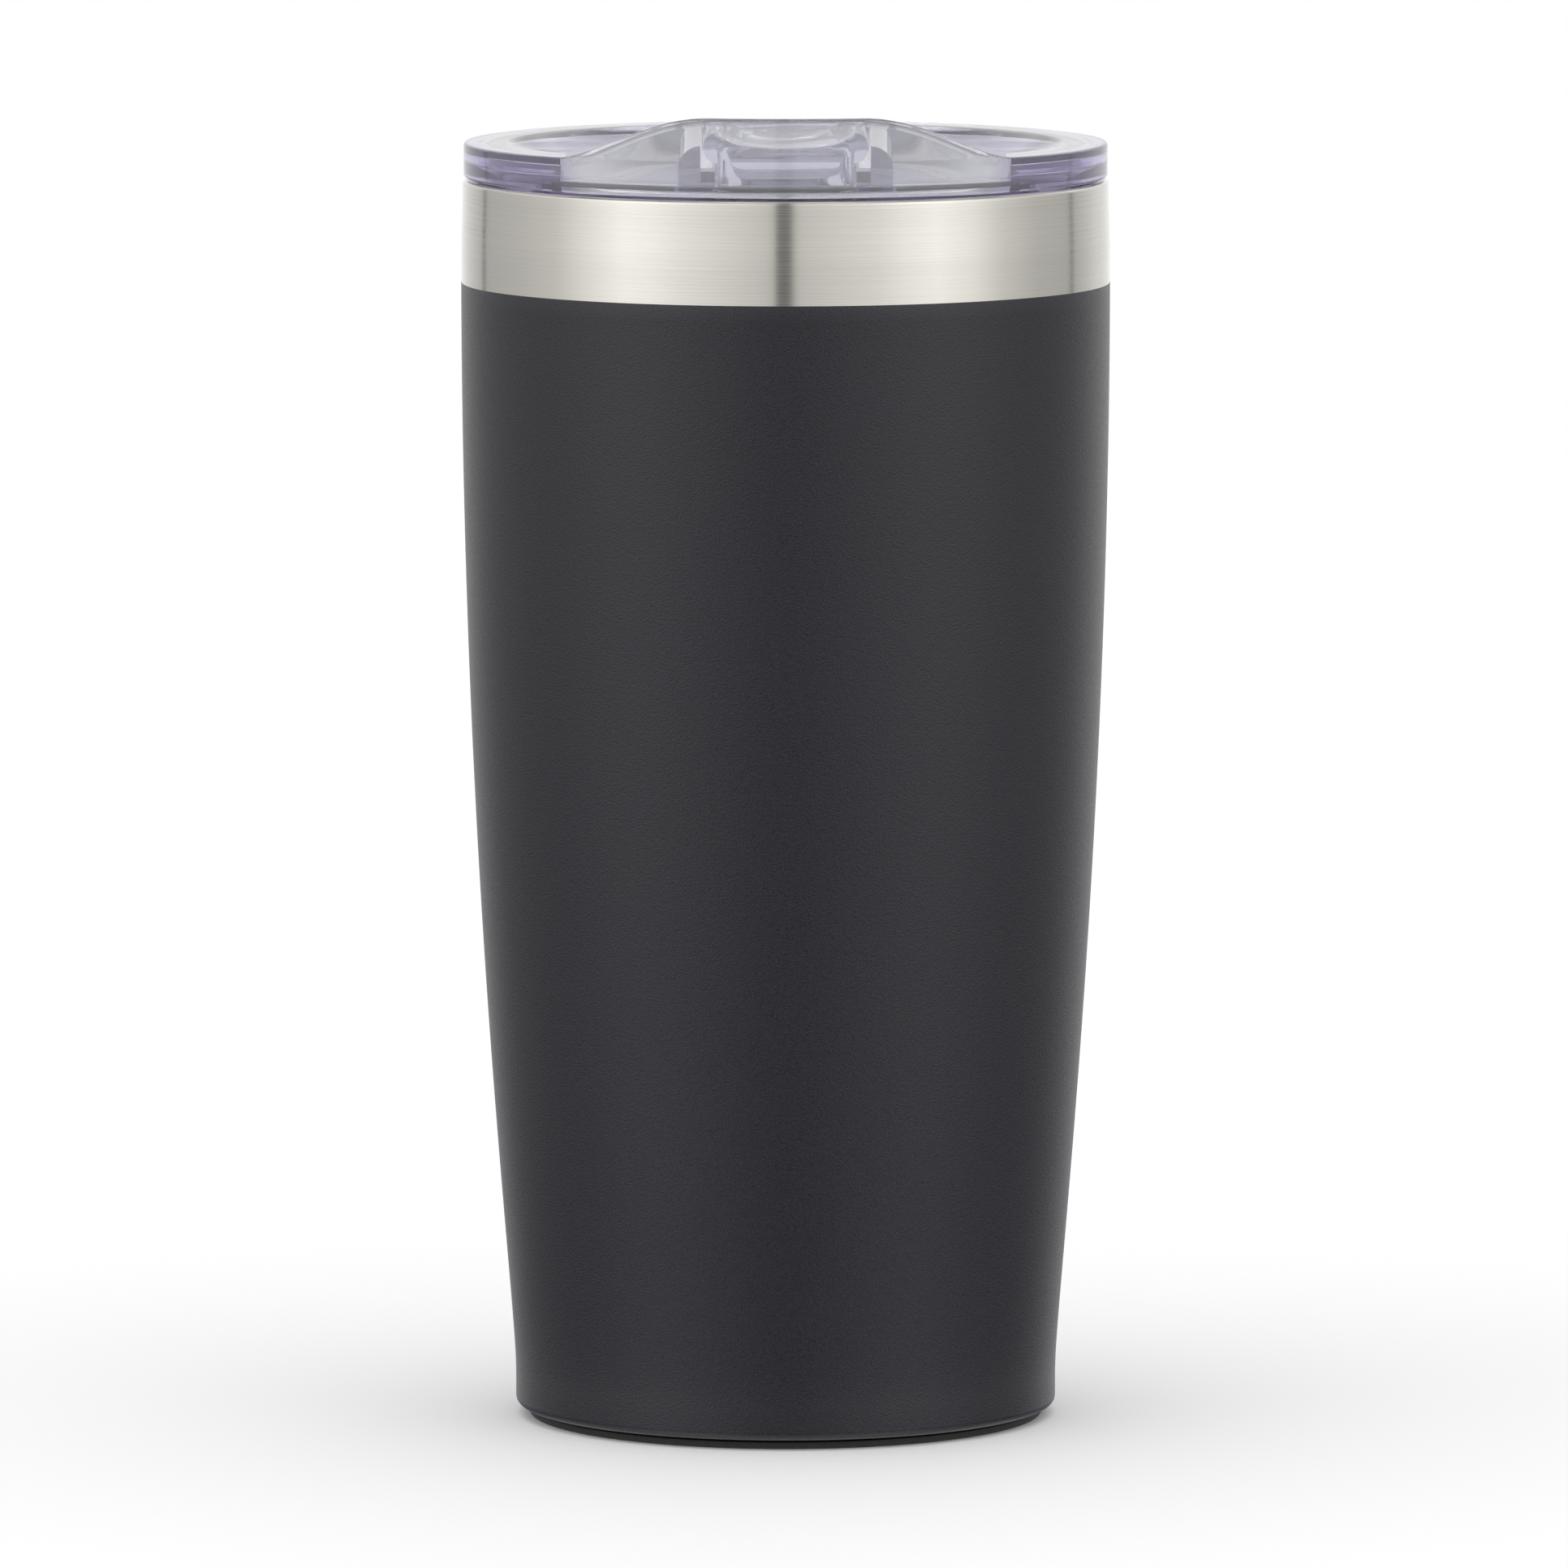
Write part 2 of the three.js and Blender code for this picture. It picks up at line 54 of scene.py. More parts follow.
def node_box(node):
    """The lowest and highest corner of a CAD node, in millimetres."""
    low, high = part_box(node)
    return Vector(low) / MM, Vector(high) / MM


# ------------------------------------------------------------------ camera

CAMERA_DISTANCE = 2.1
CAMERA_HEIGHT = 0.31567
AIM_HEIGHT = 0.08631
LENS = 355.9


def add_camera():
    data = bpy.data.cameras.new("camera")
    data.sensor_width = 36
    data.lens = LENS
    data.shift_x = -0.00104
    data.clip_end = 50
    camera = bpy.data.objects.new("camera", data)
    camera.location = (0, -CAMERA_DISTANCE, CAMERA_HEIGHT)
    aim = Vector((0, 0, AIM_HEIGHT)) - camera.location
    camera.rotation_euler = aim.to_track_quat("-Z", "Y").to_euler()
    bpy.context.collection.objects.link(camera)
    bpy.context.scene.camera = camera


add_camera()
bpy.context.scene.view_settings.view_transform = "Standard"


# ------------------------------------------------------------------ driving sizes, in millimetres

SHELL_LOW, SHELL_HIGH = node_box("outer_shell")
LID_LOW, LID_HIGH = node_box("lid_cover")
PAD_HIGH = node_box("base_pad")[1]
SLIDER_LOW, SLIDER_HIGH = node_box("slider")

GAP = 0.3  # clearance between pieces that don't touch
BODY_RADIUS = SHELL_HIGH.x
FOOT_RADIUS = 36.87
FOOT_ROUND = 1.2
UNDERFOOT_RADIUS = 34.3  # inner edge of the shell's rim under the foot
BOTTOM_Z = SHELL_LOW.z
MOUTH_Z = SHELL_HIGH.z
TAPER_FOOT_Z = 6
TAPER_TOP_Z = 156
RIM_RADIUS = BODY_RADIUS - 0.2
COAT_TOP_Z = 155
COAT = 0.05  # thickness of the powder coat
SHEET = 0.5  # thickness of the liner's steel
LINER_MOUTH = 41.8
LINER_INSET = 4

LID_RADIUS = LID_HIGH.x
LIP_Z = LID_HIGH.z
RIM_Z = 174
LID_FLOOR_Z = 168.8
PLASTIC = 2  # thickness of the lid's walls and floor
FLANGE_Z = MOUTH_Z + GAP


# ------------------------------------------------------------------ mesh helpers

def bezier(points, t):
    """The point at a share t of the way along a cubic curve with four control points."""
    a, b, c, d = (Vector(p) for p in points)
    s = 1 - t
    return a * s**3 + b * (3 * s * s * t) + c * (3 * s * t * t) + d * t**3


def bezier_where(points, axis, value):
    """The point where a curve that runs one way along an axis reaches a value on it."""
    low, high = 0.0, 1.0
    rising = points[-1][axis] > points[0][axis]
    for _ in range(40):
        middle = (low + high) / 2
        if (bezier(points, middle)[axis] < value) == rising:
            low = middle
        else:
            high = middle
    return bezier(points, low)


def arc(centre_r, centre_z, radius, start, end, steps=8):
    """Points on a circle in a profile's plane, from one angle to another in degrees."""
    angles = [math.radians(start + (end - start) * i / steps) for i in range(steps + 1)]
    return [(centre_r + radius * math.cos(a), centre_z + radius * math.sin(a)) for a in angles]


def rounded(corners, steps=6):
    """An outline of (x, y, reach) corners, each replaced by a circular arc that starts at its reach."""
    points = []
    for i, (x, y, reach) in enumerate(corners):
        here = Vector((x, y))
        if reach == 0:
            points.append((x, y))
            continue
        before = (Vector(corners[i - 1][:2]) - here).normalized()
        after = (Vector(corners[(i + 1) % len(corners)][:2]) - here).normalized()
        start, end = here + before * reach, here + after * reach
        weight = math.sin(before.angle(after) / 2)
        for k in range(steps + 1):
            t = k / steps
            near, corner, far = (1 - t) ** 2, 2 * t * (1 - t) * weight, t * t
            points.append(tuple((start * near + here * corner + end * far) / (near + corner + far)))
    return points


def new_object(name, mesh):
    made = bpy.data.objects.new(name, mesh)
    bpy.context.collection.objects.link(made)
    return made


def mesh_object(name, vertices, faces):
    """An object from points in millimetres, with its faces turned outwards."""
    mesh = bpy.data.meshes.new(name)
    mesh.from_pydata([Vector(v) * MM for v in vertices], [], faces)
    work = bmesh.new()
    work.from_mesh(mesh)
    bmesh.ops.remove_doubles(work, verts=work.verts, dist=1e-7)
    bmesh.ops.recalc_face_normals(work, faces=work.faces)
    work.to_mesh(mesh)
    work.free()
    return new_object(name, mesh)


def swept(name, profile_at, segments):
    """A closed ring about Z whose outline of (r, z) points may change with the angle from the front."""
    vertices, faces = [], []
    count = len(profile_at(0))
    for s in range(segments):
        angle = math.tau * s / segments
        vertices += [(r * math.sin(angle), -r * math.cos(angle), z) for r, z in profile_at(angle)]
    for s in range(segments):
        this, following = s * count, (s + 1) % segments * count
        for i in range(count):
            j = (i + 1) % count
            if vertices[this + i][:2] == vertices[this + j][:2] == (0, 0):
                continue
            faces.append((this + i, this + j, following + j, following + i))
    return mesh_object(name, vertices, faces)


def turned(name, profile, segments=192):
    """A closed solid of revolution about Z from a closed outline of (r, z) points."""
    return swept(name, lambda angle: profile, segments)


def prism(name, outline, low, high, axis="Z"):
    """A solid with a flat outline, from low to high along Z, or along Y with the outline in X and Z."""
    count = len(outline)
    if axis == "Z":
        vertices = [(x, y, h) for h in (low, high) for x, y in outline]
    else:
        vertices = [(x, h, z) for h in (low, high) for x, z in outline]
    faces = [tuple(range(count)), tuple(range(count, 2 * count))]
    faces += [(i, (i + 1) % count, count + (i + 1) % count, count + i) for i in range(count)]
    return mesh_object(name, vertices, faces)


def rounded_rectangle(left, bottom, right, top, corner, steps=8):
    """The outline of a rectangle whose corners are arcs."""
    corners = [(left, bottom), (right, bottom), (right, top), (left, top)]
    return rounded([(x, y, corner) for x, y in corners], steps)


def block(name, low, high):
    """A box from its lowest corner to its highest."""
    outline = [(low[0], low[1]), (high[0], low[1]), (high[0], high[1]), (low[0], high[1])]
    return prism(name, outline, low[2], high[2])


def settle(piece):
    """Applies a piece's modifiers to its mesh."""
    graph = bpy.context.evaluated_depsgraph_get()
    mesh = bpy.data.meshes.new_from_object(piece.evaluated_get(graph))
    piece.modifiers.clear()
    piece.data = mesh


def combine(piece, others, operation):
    """Joins, cuts or crosses a piece with others, which are used up."""
    for other in others:
        change = piece.modifiers.new("combine", "BOOLEAN")
        change.operation = operation
        change.solver = "MANIFOLD"
        change.object = other
        settle(piece)
        bpy.data.objects.remove(other)
    return piece


def soften(piece, width):
    """Rounds the sharp edges of a piece by a small width in millimetres."""
    bevel = piece.modifiers.new("soften", "BEVEL")
    bevel.width = width * MM
    bevel.segments = 2
    bevel.limit_method = "ANGLE"
    bevel.angle_limit = math.radians(35)
    settle(piece)


def smooth(piece):
    """Smooth shading, apart from edges sharper than 30 degrees."""
    mesh = piece.data
    mesh.polygons.foreach_set("use_smooth", [True] * len(mesh.polygons))
    mesh.set_sharp_from_angle(angle=math.radians(30))
    mesh.update()


# ------------------------------------------------------------------ materials

def new_material(name):
    material = bpy.data.materials.new(name)
    material.use_nodes = True
    tree = material.node_tree
    return material, tree, tree.nodes["Principled BSDF"]


def add(tree, kind, **values):
    """A node with values set on its properties or, by title, on its input sockets."""
    node = tree.nodes.new(kind)
    for key, value in values.items():
        if hasattr(node, key):
            setattr(node, key, value)
        else:
            node.inputs[key.replace("_", " ")].default_value = value
    return node


def stretched_coordinates(tree, scale):
    """Object coordinates multiplied along each axis, in repeats per metre."""
    where = add(tree, "ShaderNodeTexCoord")
    mapping = add(tree, "ShaderNodeMapping")
    mapping.inputs["Scale"].default_value = scale
    tree.links.new(where.outputs["Object"], mapping.inputs["Vector"])
    return mapping.outputs["Vector"]


def noise(tree, scale, detail=2.0, roughness=0.5):
    """Soft noise from 0 to 1, with its repeats per metre along each axis."""
    node = add(tree, "ShaderNodeTexNoise", Scale=1.0, Detail=detail, Roughness=roughness)
    tree.links.new(stretched_coordinates(tree, scale), node.inputs["Vector"])
    return node.outputs["Fac"]


def ramp(tree, factor, stops):
    """A colour ramp of (position, colour) stops."""
    node = add(tree, "ShaderNodeValToRGB")
    elements = node.color_ramp.elements
    while len(elements) < len(stops):
        elements.new(0.5)
    for element, (position, colour) in zip(elements, stops):
        element.position = position
        element.color = (*colour, 1)
    tree.links.new(factor, node.inputs["Fac"])
    return node.outputs["Color"]


def spread(tree, factor, low, high):
    """Maps a noise value onto a range."""
    node = add(tree, "ShaderNodeMapRange")
    node.inputs["From Min"].default_value = 0.3
    node.inputs["From Max"].default_value = 0.7
    node.inputs["To Min"].default_value = low
    node.inputs["To Max"].default_value = high
    tree.links.new(factor, node.inputs["Value"])
    return node.outputs["Result"]


def bump(tree, height, strength, distance_mm):
    """Surface relief from a noise value."""
    node = add(tree, "ShaderNodeBump", Strength=strength)
    node.inputs["Distance"].default_value = distance_mm * MM
    tree.links.new(height, node.inputs["Height"])
    return node.outputs["Normal"]


def maths(tree, operation, first, second=None, third=None):
    """One arithmetic node: its arguments are numbers or output sockets."""
    node = add(tree, "ShaderNodeMath", operation=operation)
    for socket, value in zip(node.inputs, (first, second, third)):
        if isinstance(value, bpy.types.NodeSocket):
            tree.links.new(value, socket)
        elif value is not None:
            socket.default_value = value
    return node.outputs[0]


def blend(tree, share, first, second):
    """A colour between two: the first is a socket, and the second is plain values."""
    node = add(tree, "ShaderNodeMix", data_type="RGBA")
    tree.links.new(share, node.inputs[0])
    tree.links.new(first, node.inputs[6])
    node.inputs[7].default_value = (*second, 1)
    return node.outputs[2]


def replace_where(tree, share, first, second):
    """A number that is a socket's value, or a plain one where the share is 1."""
    node = add(tree, "ShaderNodeMix", data_type="FLOAT")
    tree.links.new(share, node.inputs[0])
    tree.links.new(first, node.inputs[2])
    node.inputs[3].default_value = second
    return node.outputs[0]


def rise(tree, value, low, high):
    """A share from 0 to 1 as a value in millimetres goes smoothly from low to high."""
    node = add(tree, "ShaderNodeMapRange", interpolation_type="SMOOTHSTEP")
    tree.links.new(value, node.inputs["Value"])
    node.inputs["From Min"].default_value = low * MM
    node.inputs["From Max"].default_value = high * MM
    return node.outputs[0]


def powder_coat():
    material, tree, shader = new_material("powder_coat")
    grain = noise(tree, (4200, 4200, 4200), detail=1, roughness=0.5)
    colour = ramp(tree, grain, [(0.3, (0.0022, 0.0012, 0.0042)), (0.7, (0.0088, 0.0066, 0.0132))])
    tree.links.new(colour, shader.inputs["Base Color"])
    tree.links.new(spread(tree, grain, 0.3, 0.4), shader.inputs["Roughness"])
    tree.links.new(bump(tree, grain, 1.0, 0.05), shader.inputs["Normal"])
    return material


def brushed_steel(name, light, dark, roughness, anisotropy):
    """Steel brushed round the axis: streaks that are long round the body and thin up it."""
    material, tree, shader = new_material(name)
    streaks = noise(tree, (25, 25, 6000), detail=3, roughness=0.7)
    colour = ramp(tree, streaks, [(0.3, dark), (0.7, light)])
    tree.links.new(colour, shader.inputs["Base Color"])
    tree.links.new(
        spread(tree, streaks, roughness - 0.06, roughness + 0.08), shader.inputs["Roughness"]
    )
    shader.inputs["Metallic"].default_value = 1
    shader.inputs["Anisotropic"].default_value = anisotropy
    shader.inputs["Anisotropic Rotation"].default_value = 0.25
    tangent = add(tree, "ShaderNodeTangent", direction_type="RADIAL", axis="Z")
    tree.links.new(tangent.outputs["Tangent"], shader.inputs["Tangent"])
    tree.links.new(bump(tree, streaks, 0.15, 0.01), shader.inputs["Normal"])
    return material


def clear_plastic(name, tint, painted_edge_shade=None):
    """Clear plastic that deepens to lavender with thickness; painted_edge_shade paints a darker
    lavender shade onto the lid's outer wall.
    """
    material, tree, shader = new_material(name)
    cloud = noise(tree, (60, 60, 60), detail=2)
    faint = tuple(c * 0.985 for c in tint)
    colour = ramp(tree, cloud, [(0.3, faint), (0.7, tint)])
    # Painted shade: a darker lavender tint on the lid's outer wall below the rim, beside the spout.
    if painted_edge_shade:
        colour = blend(tree, edge_shade_mask(tree), colour, painted_edge_shade)
    tree.links.new(colour, shader.inputs["Base Color"])
    tree.links.new(spread(tree, cloud, 0.01, 0.03), shader.inputs["Roughness"])
    shader.inputs["Transmission Weight"].default_value = 0.9
    shader.inputs["IOR"].default_value = 1.5
    depth = add(tree, "ShaderNodeVolumeAbsorption", Color=(0.42, 0.37, 0.62, 1), Density=32)
    tree.links.new(depth.outputs["Volume"], tree.nodes["Material Output"].inputs["Volume"])
    return material


def edge_shade_mask(tree):
    """Mask of the painted shade: the lid's outer wall below the flat rim and clear of the spout."""
    where = add(tree, "ShaderNodeTexCoord")
    parts = add(tree, "ShaderNodeSeparateXYZ")
    tree.links.new(where.outputs["Object"], parts.inputs[0])
    x, y, z = parts.outputs
    squared = maths(tree, "MULTIPLY_ADD", y, y, maths(tree, "MULTIPLY", x, x))
    outside = rise(tree, maths(tree, "SQRT", squared), 40.3, 41.3)
    beside_spout = rise(tree, maths(tree, "ABSOLUTE", x), 26, 33)
    below_rim = maths(tree, "SUBTRACT", 1.0, rise(tree, z, 173.8, 174.3))
    return maths(
        tree, "MULTIPLY", outside, maths(tree, "MULTIPLY", beside_spout, below_rim)
    )


def silicone():
    material, tree, shader = new_material("clear_silicone")
    cloud = noise(tree, (400, 400, 400), detail=2)
    colour = ramp(tree, cloud, [(0.3, (0.74, 0.74, 0.77)), (0.7, (0.82, 0.82, 0.84))])
    tree.links.new(colour, shader.inputs["Base Color"])
    tree.links.new(spread(tree, cloud, 0.35, 0.5), shader.inputs["Roughness"])
    shader.inputs["Transmission Weight"].default_value = 0.75
    shader.inputs["IOR"].default_value = 1.41
    return material


def rubber():
    material, tree, shader = new_material("foot_rubber")
    grain = noise(tree, (2600, 2600, 2600), detail=3)
    colour = ramp(tree, grain, [(0.3, (0.004, 0.004, 0.004)), (0.7, (0.01, 0.01, 0.01))])
    tree.links.new(colour, shader.inputs["Base Color"])
    tree.links.new(spread(tree, grain, 0.6, 0.8), shader.inputs["Roughness"])
    tree.links.new(bump(tree, grain, 0.4, 0.05), shader.inputs["Normal"])
    return material


def plain_pattern(name, light, dark, roughness, metallic, scale):
    """A fine-grained solid colour, for the small pieces inside."""
    material, tree, shader = new_material(name)
    grain = noise(tree, (scale, scale, scale), detail=3)
    tree.links.new(ramp(tree, grain, [(0.3, dark), (0.7, light)]), shader.inputs["Base Color"])
    tree.links.new(spread(tree, grain, roughness - 0.05, roughness + 0.1), shader.inputs["Roughness"])
    tree.links.new(bump(tree, grain, 0.2, 0.05), shader.inputs["Normal"])
    shader.inputs["Metallic"].default_value = metallic
    return material


COAT_FINISH = powder_coat()
STEEL = brushed_steel("brushed_band", (0.69, 0.67, 0.62), (0.55, 0.53, 0.48), 0.18, 1.0)
LINER_STEEL = brushed_steel("liner_steel", (0.64, 0.63, 0.61), (0.54, 0.53, 0.51), 0.32, 0.7)
CLEAR = clear_plastic("clear_plastic", (0.90, 0.905, 0.93))
# The last colour is painted shade: darker lavender on the lid's outer wall.
LID_CLEAR = clear_plastic("lid_plastic", (0.90, 0.905, 0.93), (0.70, 0.64, 0.86))
SILICONE = silicone()
RUBBER = rubber()
GETTER = plain_pattern("getter_metal", (0.30, 0.30, 0.31), (0.18, 0.18, 0.19), 0.6, 0.8, 2000)
COPPER = plain_pattern("copper_foil", (0.85, 0.47, 0.30), (0.72, 0.36, 0.22), 0.25, 1, 300)
ADHESIVE = plain_pattern("adhesive", (0.78, 0.75, 0.66), (0.68, 0.65, 0.56), 0.55, 0, 900)
SOLDER = plain_pattern("solder_glass", (0.30, 0.37, 0.35), (0.20, 0.27, 0.25), 0.12, 0, 700)


def finish_piece(piece, material, body, slot, *nodes):
    """Gives a made piece its material and its body, and hides the CAD nodes it stands for; the slot
    argument is not used.
    """
    smooth(piece)
    piece.data.materials.clear()
    piece.data.materials.append(material)
    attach(piece, body)
    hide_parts(*nodes)


def recoat(node, material):
    """A CAD node that stays as it is, with a finished material."""
    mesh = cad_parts[node].data
    mesh.materials.clear()
    mesh.materials.append(material)


# ------------------------------------------------------------------ steel body

WALL_CURVE = [
    (FOOT_RADIUS, TAPER_FOOT_Z),
    (FOOT_RADIUS, 15.6),
    (BODY_RADIUS, 73.4),
    (BODY_RADIUS, TAPER_TOP_Z),
]


def side_wall(inset, low, high, steps=40):
    """Points up the long curve of the side, moved inwards."""
    heights = [low + (high - low) * i / steps for i in range(steps + 1)]
    return [(bezier_where(WALL_CURVE, 1, z).x - inset, z) for z in heights]


def coat():
    """The powder coat: a skin over the shell from just below the mouth to under the foot."""
    skin = 0.35
    corner_r = FOOT_RADIUS - FOOT_ROUND
    corner_z = BOTTOM_Z + FOOT_ROUND
    outside = [(UNDERFOOT_RADIUS, BOTTOM_Z)]
    outside += arc(corner_r, corner_z, FOOT_ROUND, -90, 0, 10)
    outside += side_wall(0, TAPER_FOOT_Z, COAT_TOP_Z - 0.1, 70)
    outside += [(BODY_RADIUS - 0.02, COAT_TOP_Z - 0.03), (BODY_RADIUS - COAT, COAT_TOP_Z)]
    inside = [(BODY_RADIUS - skin, COAT_TOP_Z)]
    inside += side_wall(skin, TAPER_FOOT_Z, COAT_TOP_Z - 1, 30)[::-1]
    inside += [(corner_r, BOTTOM_Z + skin), (UNDERFOOT_RADIUS, BOTTOM_Z + skin)]
    return turned("powder_coat_skin", outside + inside, 256)


def steel_band():
    """The bare steel above the coat, with the rounded rim and the lip that turns into the mouth."""
    low = COAT_TOP_Z - 1.5
    band_r = BODY_RADIUS - COAT
    rim_round = 0.6
    top_r = RIM_RADIUS - 0.03
    draw_in = [(band_r, 160), (band_r, 162), (RIM_RADIUS, 164.5), (top_r, MOUTH_Z - rim_round)]
    outside = [(band_r, low), draw_in[0]]
    outside += [tuple(bezier(draw_in, i / 10)) for i in range(1, 10)]
    outside += arc(top_r - rim_round, MOUTH_Z - rim_round, rim_round, 0, 90, 10)
    inside = arc(LINER_MOUTH + 0.75, MOUTH_Z - 0.35, 0.35, 90, 180, 6)
    inside += [(LINER_MOUTH + 0.4, MOUTH_Z - 2.5), (RIM_RADIUS - 0.7, MOUTH_Z - 3.5)]
    inside += [(BODY_RADIUS - 0.7, low)]
    return turned("steel_band", outside + inside, 256)


def liner():
    """The inner wall: floor, corner, side, shoulder and mouth."""
    floor_z = 10.1
    corner = 8
    wall_foot = floor_z + corner
    corner_r = side_wall(LINER_INSET, wall_foot, TAPER_TOP_Z, 1)[0][0] - corner
    shoulder_low, shoulder_middle, shoulder_high = 149, 153, 157.3
    wall_top_r = side_wall(LINER_INSET, shoulder_low, TAPER_TOP_Z, 1)[0][0]
    shoulder = [
        (wall_top_r, shoulder_low),
        (wall_top_r, shoulder_middle),
        (LINER_MOUTH, shoulder_middle),
        (LINER_MOUTH, shoulder_high),
    ]
    inner = [(0, floor_z)] + arc(corner_r, wall_foot, corner, -90, 0, 10)
    inner += side_wall(LINER_INSET, wall_foot + 2, shoulder_low - 0.5, 40)
    inner += [tuple(bezier(shoulder, i / 10)) for i in range(11)]
    inner += [(LINER_MOUTH, MOUTH_Z - 0.9)]
    inner += arc(LINER_MOUTH + 0.4, MOUTH_Z - 0.75, 0.4, 180, 100, 5)
    rolled_edge = 6  # points of the last arc, which have no copy on the outside
    outer = [(r + SHEET, z) for r, z in inner[1:-rolled_edge]]
    outer = [(outer[0][0] - SHEET, floor_z - SHEET)] + outer[1:]
    outline = inner + [(LINER_MOUTH + SHEET, MOUTH_Z - 0.6)] + outer[::-1] + [(0, floor_z - SHEET)]
    return turned("liner_wall", outline, 192)


def pad():
    """The foot pad, with a shallow ring moulded into its underside."""
    edge = PAD_HIGH.x
    flange = BOTTOM_Z - GAP
    plug = 33.4  # radius of the part that sits inside the foot
    recess = 0.25
    return turned(
        "foot_pad",
        rounded(
            [
                (0, recess, 0),
                (27, recess, 0.1),
                (27.6, 0, 0.1),
                (edge, 0, 0.35),
                (edge, flange, 0.15),
                (plug, flange, 0),
                (plug, BOTTOM_Z, 0),
                (0, BOTTOM_Z, 0),
            ]
        ),
        192,
    )


# ------------------------------------------------------------------ lid

DISH_RADIUS = 37.5
DISH_FLOOR_RADIUS = 29.5
SKIRT_OUTER = 40.2
SKIRT_INNER = SKIRT_OUTER - PLASTIC
SKIRT_Z = LID_LOW.z
GROOVE_DEPTH = 0.8
GROOVE_LOW_Z = 162.6
GROOVE_HIGH_Z = 165.8
UNDERSIDE_Z = LID_FLOOR_Z - PLASTIC

LIP_TOP_X = 10.5  # the drinking lip is level as far as this to each side
LIP_FOOT_X = 31
LIP_CURVE = [(LIP_TOP_X, LIP_Z), (19, LIP_Z), (26, RIM_Z), (LIP_FOOT_X, RIM_Z)]
SPOUT_HALF = DISH_FLOOR_RADIUS  # the dish's floor runs straight forward to the lip this wide
SPOUT_Z = 170.5  # low shelf between that floor and the drinking lip
SHELF_INNER = 38.6
SHELF_FOOT = SHELF_INNER - 2.1  # where the slope down from the shelf meets the floor
WALL_INNER = LID_RADIUS - PLASTIC
LAND = 1.1  # thickness of the flat rim
BEAD_TOP_Z = 171.5  # the wall thickens below this into the bead that rests on the cup
BEAD_INNER = 40.5
BEAD_LOW_Z = 170.1
GROOVE_TIP = 41.9  # radius and height of the top of the groove under the drinking lip
GROOVE_TIP_Z = 170.1
GROOVE_HALF = 1
LID_SEGMENTS = 448


def edge_height(angle):
    """Height of the lid's edge at an angle from the front: level, then easing down to the rim."""
    x = abs(LID_RADIUS * math.sin(angle))
    if math.cos(angle) < 0 or x >= LIP_FOOT_X:
        return RIM_Z
    if x <= LIP_TOP_X:
        return LIP_Z
    return bezier_where(LIP_CURVE, 0, x).y


def bowl_profile(angle):
    """Section of the lid: floor, dish, rim and skirt, with the thin lip rising from the rim."""
    slope = (RIM_Z - LID_FLOOR_Z) / (DISH_RADIUS - DISH_FLOOR_RADIUS)
    cone_foot = DISH_FLOOR_RADIUS + 0.6
    cone_top_z = UNDERSIDE_Z + (SKIRT_INNER - cone_foot) * slope
    top_z = edge_height(angle)
    inner_round = 1.3
    raised = min(1, (top_z - RIM_Z) / inner_round)
    lip_inner = arc(WALL_INNER + inner_round, top_z - inner_round, inner_round, 90, 180, 7)
    below = rounded(
        [
            (0, UNDERSIDE_Z, 0),
            (cone_foot, UNDERSIDE_Z, 0.5),
            (SKIRT_INNER, cone_top_z, 0.3),
            (SKIRT_INNER, SKIRT_Z, 0.4),
            (SKIRT_OUTER, SKIRT_Z, 0.4),
            (SKIRT_OUTER, GROOVE_LOW_Z, 0.1),
            (SKIRT_OUTER - GROOVE_DEPTH, GROOVE_LOW_Z, 0.1),
            (SKIRT_OUTER - GROOVE_DEPTH, GROOVE_HIGH_Z, 0.1),
            (SKIRT_OUTER, GROOVE_HIGH_Z, 0.1),
            (SKIRT_OUTER, RIM_Z - LAND, 0.2),
            (WALL_INNER, RIM_Z - LAND, 0.2),
            (WALL_INNER, BEAD_TOP_Z, 0.2),
            (BEAD_INNER, BEAD_LOW_Z, 0.1),
            (BEAD_INNER, FLANGE_Z, 0.1),
            (LID_RADIUS, FLANGE_Z, 0.5),
            (LID_RADIUS, RIM_Z - 1, 0),
        ],
        steps=5,
    )
    outer_round = 0.4
    outer = arc(LID_RADIUS - outer_round, top_z - outer_round, outer_round, 0, 90, 6)
    inner = [(r, top_z - (top_z - z) * raised) for r, z in lip_inner]
    dish = rounded(
        [
            (WALL_INNER - 0.05, RIM_Z, 0),
            (DISH_RADIUS, RIM_Z, 0.5),
            (DISH_FLOOR_RADIUS, LID_FLOOR_Z, 0.8),
            (0, LID_FLOOR_Z, 0),
        ]
    )
    return below + outer + inner + dish


def ahead(name, profile, half):
    """The part of a turned solid that lies ahead of the lid's middle, within a width."""
    made = turned(name, profile, LID_SEGMENTS)
    return combine(made, [block("front", (-half, -50, SKIRT_Z), (half, 0, LIP_Z))], "INTERSECT")


def spout_floor():
    """The floor under the spout, which fills the hollows below the rim there."""
    low = FLANGE_Z + 0.2
    profile = [
        (0, UNDERSIDE_Z),
        (SKIRT_INNER + 1, UNDERSIDE_Z),
        (SKIRT_INNER + 1, low),
        (WALL_INNER + 1, low),
        (WALL_INNER + 1, SPOUT_Z),
        (SHELF_INNER, SPOUT_Z),
        (SHELF_FOOT, LID_FLOOR_Z),
        (0, LID_FLOOR_Z),
    ]
    return ahead("spout_floor", profile, SPOUT_HALF + PLASTIC)


def spout_groove():
    """The groove that keeps the plastic under the drinking lip thin."""
    profile = [
        (GROOVE_TIP - GROOVE_HALF, FLANGE_Z - 0.1),
        (GROOVE_TIP + GROOVE_HALF, FLANGE_Z - 0.1),
        (GROOVE_TIP, GROOVE_TIP_Z),
    ]
    return ahead("spout_groove", profile, SPOUT_HALF)


